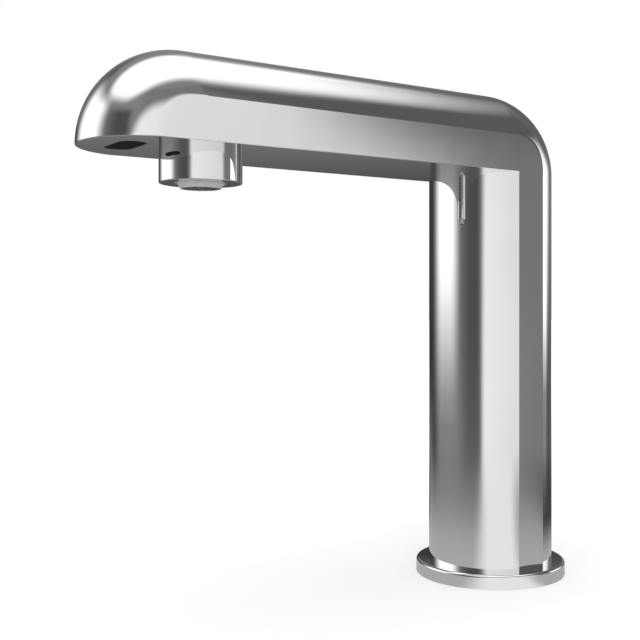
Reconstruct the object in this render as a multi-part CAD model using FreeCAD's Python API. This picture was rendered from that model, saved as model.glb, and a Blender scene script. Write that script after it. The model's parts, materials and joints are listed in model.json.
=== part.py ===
import FreeCAD, Part
import math
import os

# Sensor tap for one hole in a basin or worktop. Millimetres, +Z up.
# Origin: centre of the base on the deck. The spout points to -Y and its flat sides face +X and -X.

# ---- Driving dimensions: outer form ----
column_diameter = 45.0      # round bar of the column and of the spout's crown
flat_depth = 0.75           # cut off each side of the bar
underside_height = 145.5    # deck to the flat underside of the spout
spout_depth = 29.5          # underside to crown, also the outer radius of elbow and nose
outlet_reach = 118.0        # column axis to outlet axis
window_beyond_outlet = 24.4 # outlet axis to the middle of the window
tip_beyond_window = 13.9    # middle of the window to the tip of the nose
shell_wall = 2.5
floor_wall = 3.0            # thickness of the spout's flat floor
edge_round = 0.4            # softened rim of the underside

# ---- Base ring and hub ----
ring_overhang = 4.75        # beyond the column
ring_height = 5.0
ring_bevel = 0.6
gasket_edge = 2.25          # ring's outer edge to the gasket's groove
gasket_width = 3.0
gasket_depth = 2.0
hub_height = 22.0
hub_seal_drop = 4.0         # hub's top to the middle of its seal
stud_spacing = 29.0         # two M6 fixing studs, one each side of the column axis
stud_hole_radius = 2.5      # M6 tapping size
stud_hole_depth = 12.0
inlet_thread_radius = 4.5   # M10 x 1 hose thread, tapping size
inlet_thread_depth = 12.0
lead_wall = 0.65            # between the lead's way through the hub and the seal's groove
lead_circle_angle = 145.0
lead_hole_radius = 3.0
lead_radius = 2.0
grommet_flange = 0.8

# ---- Seals and clearances ----
seal_section = 1.8          # diameter of the round seals' section
small_seal_section = 1.2
seal_sides = 12
fit_clearance = 0.05        # radial, between pieces that fit into each other
seal_clearance = 0.05
plunger_clearance = 0.08    # running fit of the plunger in its tube
touch_gap = 0.05            # between the closed pilot seal and its orifice

# ---- Solenoid valve ----
valve_gap = 1.5             # between the valve and the column's bore, at the front
valve_share = 0.64          # valve's radius as a share of the bore's
valve_body_height = 18.0
web_inset = 0.5             # web to socket narrower than the socket, each side
spigot_radius = 6.3
spigot_length = 6.0
inlet_bore_radius = 4.0
seat_bore_radius = 3.0
seat_rim_radius = 4.5
chamber_height = 2.0        # flat chamber that spreads the incoming water
chamber_level = 3.5         # its floor above the valve's base
annulus_depth = 5.5
feed_hole_radius = 1.25
passage_radius = 2.5
passage_level = 9.2         # axis of the cross passage above the valve's base
diaphragm_wall = 0.45       # between the diaphragm's rim and the screws
diaphragm_grip = 1.7        # width of the clamped rim
diaphragm_thickness = 1.2
plate_stem_radius = 1.9
plate_lower_radius = 2.6
plate_lower_thickness = 0.6
plate_gap = 1.5             # between the plate and the chamber's wall
plate_upper_thickness = 1.2
plate_lift = 1.2
pilot_orifice_radius = 0.4
bonnet_height = 10.0
plate_headroom = 0.8        # above the plate at its full lift
screw_radius = 1.25
screw_head_radius = 2.1
screw_head_height = 2.2
screw_socket_radius = 1.0
screw_socket_depth = 1.2
screw_grip = 6.0            # thread length in the hub
armature_tube_radius = 5.0
armature_tube_wall = 0.5
armature_flange_radius = 6.4
armature_flange_thickness = 0.8
plunger_length = 20.0
plunger_lift = 2.0
plunger_seal_radius = 1.6
plunger_seal_length = 2.2
plunger_seal_proud = 0.8
fixed_core_length = 9.5
core_stud_radius = 2.5
spring_wire = 0.5
wire_sides = 8
spring_radius = 2.0
spring_turns = 6
spring_pocket_depth = 9.0
spring_pocket_radius = 2.6
coil_setback = 2.5          # coil's radius below the valve's
coil_hub_wall = 1.0
bobbin_flange = 1.2
winding_inset = 0.8
yoke_thickness = 1.5
yoke_half_width = 5.0
nut_across_flats = 8.0
nut_height = 4.0

# ---- Inlet strainer ----
strainer_radius = 3.3
strainer_wall = 0.5
strainer_length = 8.0
strainer_flange_radius = 5.4
strainer_slots = 8
strainer_slot_width = 1.0
strainer_end_margin = 1.5

# ---- Water tube ----
tube_radius = 4.0
tube_wall = 1.0
tube_gap = 0.5              # between the tube's socket and the column's bore, at the back
tube_bend_radius = 20.0
socket_wall = 2.5
socket_depth = 10.0
socket_level = 12.0         # floor of the lower socket above the valve's base

# ---- Outlet ----
run_height = 12.5           # underside to the axis of the tube's level leg
elbow_radius = 12.0
elbow_height = 16.0
elbow_port_length = 8.0
collar_diameter = 25.5
collar_drop = 9.7           # how far the collar hangs below the underside
collar_round = 0.8
neck_radius = 10.0
neck_length = 8.0
waterway_radius = 7.0
floor_hole_clearance = 0.2

# ---- Aerator ----
aerator_thread_radius = 8.2
aerator_body_height = 7.2
cone_top_radius = 7.3
cone_bottom_radius = 6.3
cone_drop = 1.6
aerator_bore_radius = 6.8
aerator_lip_radius = 5.4
aerator_lip_height = 0.3
grid_radius = 5.75
grid_thickness = 1.0
grid_pitch = 1.3
grid_hole = 0.9
core_thickness = 3.0
core_hole_radius = 0.6
inner_hole_circle = 3.0
inner_hole_count = 6
outer_hole_circle = 5.2
outer_hole_count = 12
core_dome_radius = 1.5
core_dome_height = 1.0
screen_thickness = 0.5
screen_count = 2
screen_spacing = 0.7
washer_thickness = 1.2
washer_bore_radius = 5.8

# ---- Sensor ----
window_width = 18.6
window_length = 8.4
window_corner = 3.2
window_thickness = 1.2
window_inset = 0.1
window_ledge = 1.0
sensor_gasket_thickness = 0.5
housing_height = 13.0
housing_wall = 0.9
housing_lead_radius = 1.2
board_thickness = 1.0
board_level = 7.0           # board above the back of the window
eye_radius = 1.5
eye_spacing = 9.0
eye_gap = 0.8               # window's back to the tip of each eye
eye_lead_radius = 0.25
eye_lead_pitch = 1.2
clip_thickness = 0.4
clip_width = 3.0
clip_barb = 1.8

# ---- Derived outer form ----
column_radius = column_diameter / 2
flat_offset = column_radius - flat_depth
ring_radius = column_radius + ring_overhang
window_reach = outlet_reach + window_beyond_outlet
tip_reach = window_reach + tip_beyond_window
total_height = underside_height + spout_depth
crown_axis = total_height - column_radius
elbow_axis_y = column_radius - spout_depth
nose_axis_y = spout_depth - tip_reach
bore_radius = column_radius - shell_wall
floor_top = underside_height + floor_wall
hub_radius = bore_radius - fit_clearance
hub_seal_height = hub_height - hub_seal_drop
gasket_outer_radius = ring_radius - gasket_edge
gasket_inner_radius = gasket_outer_radius - gasket_width
lead_circle_radius = hub_radius - seal_section - lead_wall - lead_hole_radius
valve_radius = bore_radius * valve_share
screw_circle_radius = valve_radius - screw_head_radius
diaphragm_radius = screw_circle_radius - screw_radius - diaphragm_wall
chamber_radius = diaphragm_radius - diaphragm_grip
plate_upper_radius = chamber_radius - plate_gap
coil_radius = valve_radius - coil_setback
boss_radius = tube_radius + socket_wall
valve_offset = valve_radius + valve_gap - bore_radius
tube_offset = bore_radius - boss_radius - tube_gap

UP = FreeCAD.Vector(0, 0, 1)
ACROSS = FreeCAD.Vector(1, 0, 0)
ALONG = FreeCAD.Vector(0, 1, 0)


# ---- Geometry helpers ----
def rod(radius, low, high, x=0.0, y=0.0):
    """Upright cylinder between two heights."""
    return Part.makeCylinder(radius, high - low, FreeCAD.Vector(x, y, low), UP)


def sleeve(outer, inner, low, high, x=0.0, y=0.0):
    """Upright ring with a plain bore."""
    return rod(outer, low, high, x, y).cut(rod(inner, low, high, x, y))


def block(x_size, y_size, low, high, x=0.0, y=0.0):
    """Upright box centred on a point."""
    corner = FreeCAD.Vector(x - x_size / 2, y - y_size / 2, low)
    return Part.makeBox(x_size, y_size, high - low, corner)


def turned(profile, x=0.0, y=0.0):
    """Solid of revolution from (radius, height) points about an upright axis."""
    points = [FreeCAD.Vector(x + radius, y, height) for radius, height in profile]
    face = Part.Face(Part.makePolygon(points + points[:1]))
    return face.revolve(FreeCAD.Vector(x, y, 0), UP, 360)


def round_seal(middle_radius, section, height, x=0.0, y=0.0):
    """Round-section seal lying level, its section drawn with a few straight sides."""
    profile = []
    for number in range(seal_sides):
        out, up = on_circle(section / 2, number * 360.0 / seal_sides)
        profile.append((middle_radius + out, height + up))
    return turned(profile, x, y)


def rounded_block(x_size, y_size, corner, low, high, x=0.0, y=0.0):
    """Upright box with rounded upright corners."""
    solid = block(x_size, y_size, low, high, x, y)
    upright = [edge for edge in solid.Edges if abs(edge.tangentAt(edge.FirstParameter).z) > 0.9]
    return solid.makeFillet(corner, upright)


def fused(solids):
    """One solid from touching pieces."""
    return solids[0].multiFuse(solids[1:]).removeSplitter()


def on_circle(radius, angle):
    """Point on a circle about the origin, angle in degrees."""
    return radius * math.cos(math.radians(angle)), radius * math.sin(math.radians(angle))


def at_screws():
    """Places of the four long valve screws."""
    for angle in (45, 135, 225, 315):
        x, y = on_circle(screw_circle_radius, angle)
        yield x, valve_offset + y


# ---- Body shell ----
def spout_section(radius, half_width, floor, y):
    """Face across the spout: straight sides up to a round crown."""
    rise = math.sqrt(max(radius ** 2 - half_width ** 2, 0.0))
    shoulder = crown_axis + rise
    left_foot = FreeCAD.Vector(-half_width, y, floor)
    left_top = FreeCAD.Vector(-half_width, y, shoulder)
    crown = FreeCAD.Vector(0, y, crown_axis + radius)
    right_top = FreeCAD.Vector(half_width, y, shoulder)
    right_foot = FreeCAD.Vector(half_width, y, floor)
    edges = [
        Part.makeLine(left_foot, left_top),
        Part.Arc(left_top, crown, right_top).toShape(),
        Part.makeLine(right_top, right_foot),
        Part.makeLine(right_foot, left_foot),
    ]
    return Part.Face(Part.Wire(edges))


def underside_rim(spout):
    """Edges round the underside of run and nose, without the one at the elbow."""
    rim = []
    for edge in spout.Edges:
        box = edge.BoundBox
        level = max(abs(box.ZMin - underside_height), abs(box.ZMax - underside_height)) < fit_clearance
        if level and box.YMin < elbow_axis_y - edge_round:
            rim.append(edge)
    return rim


def bent_bar(radius, half_width, rim_round):
    """Elbow, level run and nose of one section, above the underside plane."""
    at_elbow = spout_section(radius, half_width, underside_height, elbow_axis_y)
    at_nose = spout_section(radius, half_width, underside_height, nose_axis_y)
    run = at_elbow.extrude(ALONG * (nose_axis_y - elbow_axis_y))
    elbow = at_elbow.revolve(FreeCAD.Vector(0, elbow_axis_y, underside_height), ACROSS, -90)
    nose = at_nose.revolve(FreeCAD.Vector(0, nose_axis_y, underside_height), ACROSS, 90)
    spout = fused([run, nose])
    if rim_round > 0:
        spout = spout.makeFillet(rim_round, underside_rim(spout))
    return fused([spout, elbow])


def column_bar():
    """Upright round bar with its two flat sides."""
    bar = rod(column_radius, ring_height, underside_height)
    envelope = block(2 * flat_offset, column_diameter, ring_height, underside_height)
    return bar.common(envelope)


def tap_body():
    """One-piece brass body: column, elbow, spout and rounded nose, hollow inside."""
    outer = fused([column_bar(), bent_bar(column_radius, flat_offset, edge_round)])
    spout_space = bent_bar(bore_radius, bore_radius, 0)
    floor = block(column_diameter, tip_reach, underside_height, floor_top, 0, elbow_axis_y - tip_reach / 2)
    column_space = rod(bore_radius, ring_height, floor_top + fit_clearance)
    hollow = fused([spout_space.cut(floor), column_space])
    outlet_hole = rod(neck_radius + floor_hole_clearance, underside_height, floor_top, 0, -outlet_reach)
    return outer.cut(hollow).cut(outlet_hole).cut(sensor_opening())


def sensor_opening():
    """Stepped opening for the window, its gasket and the housing behind it."""
    recess_top = window_back + sensor_gasket_thickness
    recess = rounded_block(window_width, window_length, window_corner, underside_height, recess_top,
                           0, -window_reach)
    way_in = rounded_block(opening_width, opening_length, opening_corner, recess_top, floor_top,
                           0, -window_reach)
    return recess.fuse(way_in)


# ---- Base ----
def base_ring():
    """Bevelled ring between column and deck, grooved below for the gasket."""
    profile = [
        (bore_radius, 0),
        (ring_radius, 0),
        (ring_radius, ring_height - ring_bevel),
        (ring_radius - ring_bevel, ring_height),
        (bore_radius, ring_height),
    ]
    groove = sleeve(gasket_outer_radius, gasket_inner_radius, 0, gasket_depth)
    return turned(profile).cut(groove)


def base_gasket():
    """Flat rubber gasket in the ring's groove."""
    inner = gasket_inner_radius + seal_clearance
    outer = gasket_outer_radius - seal_clearance
    return sleeve(outer, inner, 0, gasket_depth)


def lead_place():
    """Where the supply lead comes through the hub."""
    return on_circle(lead_circle_radius, lead_circle_angle)


def base_hub():
    """Brass plug that closes the column and takes studs, hose, lead and valve."""
    hub = rod(hub_radius, 0, hub_height)
    groove = sleeve(hub_radius, hub_radius - seal_section, hub_seal_height - seal_section / 2 - seal_clearance,
                    hub_seal_height + seal_section / 2 + seal_clearance)
    lead_x, lead_y = lead_place()
    cuts = [
        groove,
        rod(inlet_thread_radius, 0, inlet_thread_depth, 0, valve_offset),
        rod(inlet_bore_radius, inlet_thread_depth, spigot_floor, 0, valve_offset),
        rod(spigot_radius + fit_clearance, spigot_floor, hub_height, 0, valve_offset),
        rod(spigot_radius + small_seal_section, inlet_seal_low, hub_height, 0, valve_offset),
        rod(lead_hole_radius, 0, hub_height, lead_x, lead_y),
    ]
    for side in (-1, 1):
        cuts.append(rod(stud_hole_radius, 0, stud_hole_depth, side * stud_spacing / 2, 0))
    for x, y in at_screws():
        cuts.append(rod(screw_radius + fit_clearance, hub_height - screw_grip, hub_height, x, y))
    return hub.cut(cuts)


def hub_seal():
    """Round seal between hub and column."""
    return round_seal(bore_radius - seal_clearance - seal_section / 2, seal_section, hub_seal_height)


def lead_grommet():
    """Rubber grommet that guides the supply lead."""
    x, y = lead_place()
    body = rod(lead_hole_radius - seal_clearance, 0, hub_height, x, y)
    flange = rod(lead_hole_radius + grommet_flange, hub_height, hub_height + grommet_flange, x, y)
    return fused([body, flange]).cut(rod(lead_radius, 0, hub_height + grommet_flange, x, y))


# ---- Solenoid valve ----
def inlet_strainer():
    """Basket strainer in the valve's inlet."""
    top = spigot_floor + strainer_wall + strainer_length
    flange = rod(strainer_flange_radius, spigot_floor, spigot_floor + strainer_wall, 0, valve_offset)
    basket = rod(strainer_radius, spigot_floor, top, 0, valve_offset)
    inside = rod(strainer_radius - strainer_wall, spigot_floor, top - strainer_wall, 0, valve_offset)
    strainer = fused([flange, basket]).cut(inside)
    low = spigot_floor + strainer_wall + strainer_end_margin
    high = top - strainer_wall - strainer_end_margin
    slots = []
    for number in range(strainer_slots // 2):
        slot = block(3 * strainer_radius, strainer_slot_width, low, high, 0, valve_offset)
        slot.rotate(FreeCAD.Vector(0, valve_offset, 0), UP, number * 360.0 / strainer_slots)
        slots.append(slot)
    return strainer.cut(slots)


def valve_body():
    """Moulded valve body: inlet spigot, seat, annulus and side socket for the tube."""
    height = valve_base + valve_body_height
    solid = fused([
        rod(valve_radius, valve_base, height, 0, valve_offset),
        rod(spigot_radius, spigot_end, valve_base, 0, valve_offset),
        rod(boss_radius, valve_base, socket_top, 0, tube_offset),
        block(2 * (boss_radius - web_inset), tube_offset - valve_offset, valve_base, height,
              0, (tube_offset + valve_offset) / 2),
    ])
    chamber_low = valve_base + chamber_level
    annulus_low = height - annulus_depth
    passage_height = valve_base + passage_level
    passage_start = FreeCAD.Vector(0, valve_offset, passage_height)
    groove_height = socket_floor + socket_depth / 2
    cuts = [
        rod(inlet_bore_radius, spigot_end, chamber_low, 0, valve_offset),
        rod(chamber_radius, chamber_low, chamber_low + chamber_height, 0, valve_offset),
        sleeve(chamber_radius, seat_rim_radius, annulus_low, height, 0, valve_offset),
        rod(seat_bore_radius, passage_height, height, 0, valve_offset),
        Part.makeCylinder(passage_radius, tube_offset - valve_offset, passage_start, ALONG),
        rod(tube_radius - tube_wall, passage_height, socket_floor, 0, tube_offset),
        rod(tube_radius + fit_clearance, socket_floor, socket_top, 0, tube_offset),
        rod(tube_radius + small_seal_section, groove_height - small_seal_section / 2 - seal_clearance,
            groove_height + small_seal_section / 2 + seal_clearance, 0, tube_offset),
    ]
    feed_circle = (seat_rim_radius + chamber_radius) / 2
    for angle in (30, 150, 210, 270, 330):
        x, y = on_circle(feed_circle, angle)
        cuts.append(rod(feed_hole_radius, chamber_low, annulus_low, x, valve_offset + y))
    for x, y in at_screws():
        cuts.append(rod(screw_radius + fit_clearance, valve_base, height, x, y))
    return solid.cut(cuts)


def inlet_seal():
    """Round seal between the valve's spigot and the hub's bore mouth."""
    section = small_seal_section - seal_clearance
    middle = spigot_radius + small_seal_section / 2
    return round_seal(middle, section, hub_height - small_seal_section / 2, 0, valve_offset)


def valve_diaphragm():
    """Rubber diaphragm, clamped at its rim and resting on the seat."""
    inner = plate_stem_radius + fit_clearance
    return sleeve(diaphragm_radius, inner, diaphragm_low, diaphragm_top, 0, valve_offset)


def diaphragm_plate():
    """Plastic plate in the diaphragm's middle, with the pilot orifice."""
    profile = [
        (pilot_orifice_radius, diaphragm_low - plate_lower_thickness),
        (plate_lower_radius, diaphragm_low - plate_lower_thickness),
        (plate_lower_radius, diaphragm_low),
        (plate_stem_radius, diaphragm_low),
        (plate_stem_radius, diaphragm_top),
        (plate_upper_radius, diaphragm_top),
        (plate_upper_radius, plate_top),
        (pilot_orifice_radius, plate_top),
    ]
    return turned(profile, 0, valve_offset)


def valve_bonnet():
    """Cover over the diaphragm that holds the armature tube."""
    cuts = [
        rod(diaphragm_radius + fit_clearance, diaphragm_low, diaphragm_top, 0, valve_offset),
        rod(chamber_radius, diaphragm_top, pilot_chamber_top, 0, valve_offset),
        rod(armature_flange_radius + fit_clearance, pilot_chamber_top,
            pilot_chamber_top + armature_flange_thickness, 0, valve_offset),
        rod(armature_tube_radius + fit_clearance, pilot_chamber_top, bonnet_top, 0, valve_offset),
        rod(boss_radius + fit_clearance, diaphragm_low, socket_top, 0, tube_offset),
    ]
    for x, y in at_screws():
        cuts.append(rod(screw_radius + fit_clearance, diaphragm_low, bonnet_top, x, y))
        cuts.append(rod(screw_head_radius + fit_clearance, bonnet_top - screw_head_height, bonnet_top, x, y))
    return rod(valve_radius, diaphragm_low, bonnet_top, 0, valve_offset).cut(cuts)


def valve_screws():
    """Four long screws that clamp bonnet and valve body to the hub."""
    head_low = bonnet_top - screw_head_height
    screws = []
    for x, y in at_screws():
        shank = rod(screw_radius, hub_height - screw_grip, head_low, x, y)
        head = rod(screw_head_radius, head_low, bonnet_top, x, y)
        socket = rod(screw_socket_radius, bonnet_top - screw_socket_depth, bonnet_top, x, y)
        screws.append(fused([shank, head]).cut(socket))
    return Part.makeCompound(screws)


def armature_tube():
    """Thin steel tube, flanged below, that guides the plunger."""
    flange = rod(armature_flange_radius, pilot_chamber_top, pilot_chamber_top + armature_flange_thickness,
                 0, valve_offset)
    wall = rod(armature_tube_radius, pilot_chamber_top, tube_end, 0, valve_offset)
    bore = rod(armature_tube_radius - armature_tube_wall, pilot_chamber_top, tube_end, 0, valve_offset)
    return fused([flange, wall]).cut(bore)


def fixed_core():
    """Steel stop in the top of the armature tube, with the stud for the nut."""
    core = rod(armature_tube_radius - armature_tube_wall - fit_clearance, fixed_core_low, tube_end,
               0, valve_offset)
    stud = rod(core_stud_radius, tube_end, stud_top, 0, valve_offset)
    return fused([core, stud])


def plunger():
    """Steel plunger with a pocket for its spring and a seat for its seal."""
    radius = armature_tube_radius - armature_tube_wall - plunger_clearance
    solid = rod(radius, plunger_low, plunger_top, 0, valve_offset)
    pocket = rod(spring_pocket_radius, plunger_top - spring_pocket_depth, plunger_top, 0, valve_offset)
    seal_pocket = rod(plunger_seal_radius, plunger_low, seal_low + plunger_seal_length, 0, valve_offset)
    return solid.cut([pocket, seal_pocket])


def plunger_seal():
    """Rubber tip that closes the pilot orifice."""
    return rod(plunger_seal_radius, seal_low, seal_low + plunger_seal_length, 0, valve_offset)


def helix_station(radius, pitch, turn):
    """Point and direction on a helix after a number of turns."""
    angle = 2 * math.pi * turn
    around = 2 * math.pi * radius
    point = FreeCAD.Vector(radius * math.cos(angle), radius * math.sin(angle), pitch * turn)
    direction = FreeCAD.Vector(-around * math.sin(angle), around * math.cos(angle), pitch).normalize()
    return point, direction


def helix_arcs(radius, pitch, turns):
    """Two arcs for each quarter turn, each as its start, direction, end and direction."""
    for quarter in range(4 * turns):
        start, leaving = helix_station(radius, pitch, quarter / 4)
        end, arriving = helix_station(radius, pitch, (quarter + 1) / 4)
        chord = end - start
        along = chord.dot(leaving + arriving)
        spread = 2 * (1 - leaving.dot(arriving))
        handle = (math.sqrt(along ** 2 + spread * chord.dot(chord)) - along) / spread
        first = start + leaving * handle
        second = end - arriving * handle
        middle = (first + second) * 0.5
        across = (second - first).normalize()
        yield start, leaving, middle, across
        yield middle, across, end, arriving


def wire_section(point, direction):
    """End face of the spring's wire, with a few straight sides."""
    side = direction.cross(UP).normalize()
    lift = side.cross(direction)
    corners = []
    for number in range(wire_sides):
        out, up = on_circle(spring_wire / 2, number * 360.0 / wire_sides)
        corners.append(point + side * out + lift * up)
    return Part.Face(Part.makePolygon(corners + corners[:1]))


def plunger_spring():
    """Return spring between the plunger's pocket and the fixed core."""
    low = plunger_top - spring_pocket_depth + spring_wire / 2 + touch_gap
    high = fixed_core_low - spring_wire / 2 - touch_gap
    section = wire_section(*helix_station(spring_radius, (high - low) / spring_turns, 0))
    skin = [section.copy()]
    for start, leaving, end, arriving in helix_arcs(spring_radius, (high - low) / spring_turns, spring_turns):
        axis = leaving.cross(arriving).normalize()
        angle = math.acos(leaving.dot(arriving))
        bend_radius = (end - start).Length / (2 * math.sin(angle / 2))
        centre = start + axis.cross(leaving) * bend_radius
        skin += [edge.revolve(centre, axis, math.degrees(angle)) for edge in section.Edges]
        section.rotate(centre, axis, math.degrees(angle))
    skin.append(section)
    shell = Part.makeShell(skin)
    shell.sewShape()
    spring = Part.makeSolid(shell)
    spring.translate(FreeCAD.Vector(0, valve_offset, low))
    return spring


def coil_bobbin():
    """Plastic spool of the coil."""
    low = bonnet_top + yoke_thickness
    high = low + coil_length
    hub_outer = armature_tube_radius + fit_clearance + coil_hub_wall
    profile = [
        (armature_tube_radius + fit_clearance, low),
        (coil_radius, low),
        (coil_radius, low + bobbin_flange),
        (hub_outer, low + bobbin_flange),
        (hub_outer, high - bobbin_flange),
        (coil_radius, high - bobbin_flange),
        (coil_radius, high),
        (armature_tube_radius + fit_clearance, high),
    ]
    return turned(profile, 0, valve_offset)


def coil_winding():
    """Copper winding between the spool's flanges."""
    low = bonnet_top + yoke_thickness + bobbin_flange
    high = bonnet_top + yoke_thickness + coil_length - bobbin_flange
    inner = armature_tube_radius + fit_clearance + coil_hub_wall
    return sleeve(coil_radius - winding_inset, inner, low, high, 0, valve_offset)


def coil_yoke():
    """Folded steel frame that carries the flux round the coil."""
    low = bonnet_top
    high = bonnet_top + 2 * yoke_thickness + coil_length
    inner_width = 2 * (coil_radius + fit_clearance)
    outer_width = inner_width + 2 * yoke_thickness
    frame = block(outer_width, 2 * yoke_half_width, low, high, 0, valve_offset)
    window = block(inner_width, 2 * yoke_half_width, low + yoke_thickness, high - yoke_thickness,
                   0, valve_offset)
    tube_hole = rod(armature_tube_radius + fit_clearance, low, high - yoke_thickness, 0, valve_offset)
    stud_hole = rod(core_stud_radius + fit_clearance, high - yoke_thickness, high, 0, valve_offset)
    return frame.cut([window, tube_hole, stud_hole])


def coil_nut():
    """Hexagon nut that holds the coil down."""
    low = bonnet_top + 2 * yoke_thickness + coil_length
    corner = nut_across_flats / math.sqrt(3)
    points = []
    for number in range(6):
        x, y = on_circle(corner, 60 * number)
        points.append(FreeCAD.Vector(x, valve_offset + y, low))
    prism = Part.Face(Part.makePolygon(points + points[:1])).extrude(UP * nut_height)
    return prism.cut(rod(core_stud_radius + fit_clearance, low, low + nut_height, 0, valve_offset))


# ---- Water tube ----
def tube_path():
    """Rising leg, bend and level leg of the water tube."""
    foot = FreeCAD.Vector(0, tube_offset, socket_floor)
    bend_low = FreeCAD.Vector(0, tube_offset, run_axis - tube_bend_radius)
    bend_centre_y = tube_offset - tube_bend_radius
    half = tube_bend_radius * math.sqrt(0.5)
    bend_middle = FreeCAD.Vector(0, bend_centre_y + half, run_axis - tube_bend_radius + half)
    bend_high = FreeCAD.Vector(0, bend_centre_y, run_axis)
    end = FreeCAD.Vector(0, port_end_y - socket_depth, run_axis)
    return Part.Wire([
        Part.makeLine(foot, bend_low),
        Part.Arc(bend_low, bend_middle, bend_high).toShape(),
        Part.makeLine(bend_high, end),
    ])


def swept_rod(radius):
    """Round rod along the tube's path."""
    foot = FreeCAD.Vector(0, tube_offset, socket_floor)
    section = Part.Wire(Part.makeCircle(radius, foot, UP))
    return tube_path().makePipeShell([section], True, False)


def water_tube():
    """Bent copper tube from the valve to the outlet elbow."""
    return swept_rod(tube_radius).cut(swept_rod(tube_radius - tube_wall))


def tube_seals():
    """Round seals in the two sockets of the tube."""
    middle = tube_radius + seal_clearance + small_seal_section / 2 - seal_clearance / 2
    section = small_seal_section - seal_clearance
    lower = round_seal(middle, section, socket_floor + socket_depth / 2, 0, tube_offset)
    centre = FreeCAD.Vector(0, port_end_y - socket_depth / 2, run_axis)
    upper = round_seal(middle, section, 0)
    upper.rotate(FreeCAD.Vector(0, 0, 0), ACROSS, 90)
    upper.translate(centre)
    return Part.makeCompound([lower, upper])


# ---- Outlet ----
def outlet_elbow():
    """Brass elbow on the spout's floor that turns the water down."""
    top = floor_top + elbow_height
    centre = FreeCAD.Vector(0, -outlet_reach, run_axis)
    port_length = port_end_y + outlet_reach
    body = fused([
        rod(elbow_radius, floor_top, top, 0, -outlet_reach),
        Part.makeCylinder(boss_radius, port_length, centre, ALONG),
    ])
    socket_start = FreeCAD.Vector(0, port_end_y - socket_depth, run_axis)
    groove_start = FreeCAD.Vector(0, port_end_y - socket_depth / 2 - small_seal_section / 2 - seal_clearance,
                                  run_axis)
    groove_width = small_seal_section + 2 * seal_clearance
    cuts = [
        rod(neck_radius + fit_clearance, floor_top, neck_top, 0, -outlet_reach),
        rod(waterway_radius, neck_top, top - shell_wall, 0, -outlet_reach),
        Part.makeCylinder(tube_radius - tube_wall, port_length, centre, ALONG),
        Part.makeCylinder(tube_radius + fit_clearance, socket_depth, socket_start, ALONG),
        Part.makeCylinder(tube_radius + small_seal_section, groove_width, groove_start, ALONG),
    ]
    return body.cut(cuts)


def outlet_collar():
    """Round collar below the spout, screwed into the elbow from outside."""
    outer = collar_diameter / 2
    skirt = rod(outer, collar_bottom, underside_height, 0, -outlet_reach)
    lower_rim = [edge for edge in skirt.Edges if edge.BoundBox.ZMax < collar_bottom + fit_clearance]
    skirt = skirt.makeFillet(collar_round, lower_rim)
    neck = rod(neck_radius, underside_height, neck_top, 0, -outlet_reach)
    cuts = [
        rod(aerator_thread_radius + fit_clearance, collar_bottom, washer_top, 0, -outlet_reach),
        rod(waterway_radius, washer_top, neck_top, 0, -outlet_reach),
        sleeve(collar_seal_radius + small_seal_section / 2 + seal_clearance,
               collar_seal_radius - small_seal_section / 2 - seal_clearance,
               underside_height - small_seal_section, underside_height, 0, -outlet_reach),
    ]
    return fused([skirt, neck]).cut(cuts)


def collar_seal():
    """Round seal between the collar and the spout's underside."""
    return round_seal(collar_seal_radius, small_seal_section, underside_height - small_seal_section / 2,
                      0, -outlet_reach)


# ---- Aerator ----
def aerator_housing():
    """Screw-in aerator housing that ends in a short cone."""
    shoulder = collar_bottom
    bottom = shoulder - cone_drop
    top = shoulder + aerator_body_height
    profile = [
        (aerator_lip_radius, bottom),
        (cone_bottom_radius, bottom),
        (cone_top_radius, shoulder),
        (aerator_thread_radius, shoulder),
        (aerator_thread_radius, top),
        (aerator_bore_radius, top),
        (aerator_bore_radius, grid_top),
        (grid_radius + fit_clearance, grid_top),
        (grid_radius + fit_clearance, grid_low),
        (aerator_lip_radius, grid_low),
    ]
    return turned(profile, 0, -outlet_reach)


def aerator_grid():
    """Moulded outlet grid with square meshes."""
    disc = rod(grid_radius, grid_low, grid_low + grid_thickness, 0, -outlet_reach)
    reach = aerator_lip_radius - grid_hole * math.sqrt(0.5)
    steps = int(reach / grid_pitch)
    meshes = []
    for column in range(-steps, steps + 1):
        for row in range(-steps, steps + 1):
            x = column * grid_pitch
            y = row * grid_pitch
            if math.hypot(x, y) <= reach:
                meshes.append(block(grid_hole, grid_hole, grid_low, grid_low + grid_thickness,
                                    x, y - outlet_reach))
    return disc.cut(Part.makeCompound(meshes))


def aerator_core():
    """Perforated plate that splits the water, with a small dome on top."""
    low = core_low
    high = core_low + core_thickness
    plate = rod(aerator_bore_radius - fit_clearance, low, high, 0, -outlet_reach)
    dome = Part.makeCone(core_dome_radius, core_dome_radius / 2, core_dome_height,
                         FreeCAD.Vector(0, -outlet_reach, high), UP)
    holes = []
    for circle_radius, count in ((inner_hole_circle, inner_hole_count), (outer_hole_circle, outer_hole_count)):
        for number in range(count):
            x, y = on_circle(circle_radius, number * 360.0 / count)
            holes.append(rod(core_hole_radius, low, high, x, y - outlet_reach))
    return fused([plate, dome]).cut(holes)


def aerator_screens():
    """Fine screens that lie under the perforated plate."""
    screens = []
    for number in range(screen_count):
        low = grid_top + number * screen_spacing
        screens.append(rod(aerator_bore_radius - fit_clearance, low, low + screen_thickness,
                           0, -outlet_reach))
    return Part.makeCompound(screens)


def aerator_washer():
    """Flat rubber washer above the aerator."""
    return sleeve(aerator_thread_radius, washer_bore_radius, collar_bottom + aerator_body_height, washer_top,
                  0, -outlet_reach)


# ---- Sensor ----
def sensor_window():
    """Dark infrared window, almost flush with the underside."""
    return rounded_block(window_width - 2 * fit_clearance, window_length - 2 * fit_clearance,
                         window_corner - fit_clearance, underside_height + window_inset, window_back,
                         0, -window_reach)


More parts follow.
